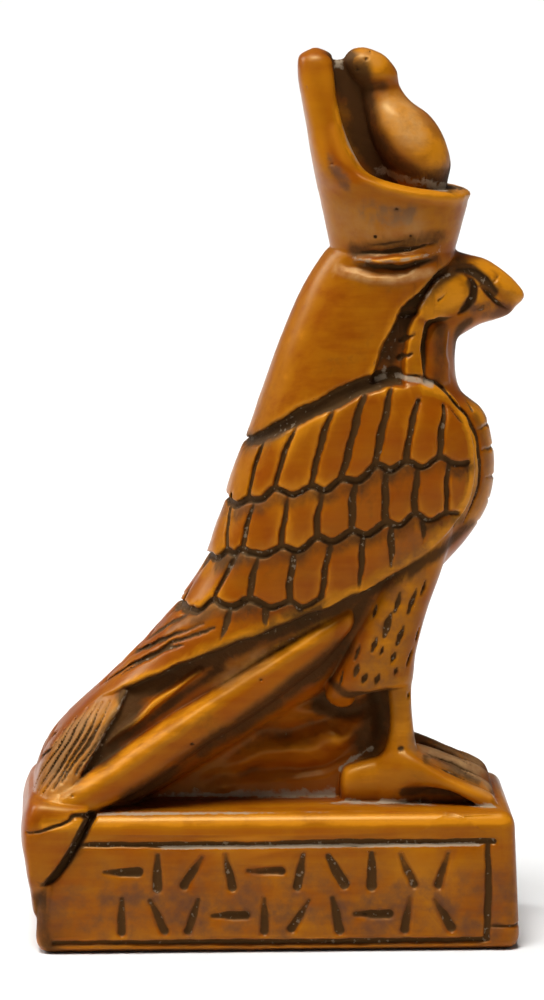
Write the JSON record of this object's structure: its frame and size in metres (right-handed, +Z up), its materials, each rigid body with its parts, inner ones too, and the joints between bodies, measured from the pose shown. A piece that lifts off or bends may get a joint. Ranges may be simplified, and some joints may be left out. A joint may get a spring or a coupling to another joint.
{
  "type": "falcon figure on a plinth",
  "caption": "Small cast resin falcon with folded wings and a tall double crown, standing on an oblong plinth with a framed panel on each side.",
  "frame": {"origin": "the middle of the plinth's underside", "axes": "+X is the way the falcon looks, along the plinth's length; +Z is up; +Y is the falcon's left"},
  "size_m": [0.0623, 0.0256, 0.1108],
  "materials": {
    "cast_resin": "amber cast resin, satin to gloss, with a dark brown patina rubbed into the carving"
  },
  "bodies": {
    "root": {"falcon_figure": "cast_resin"}
  },
  "joints": []
}
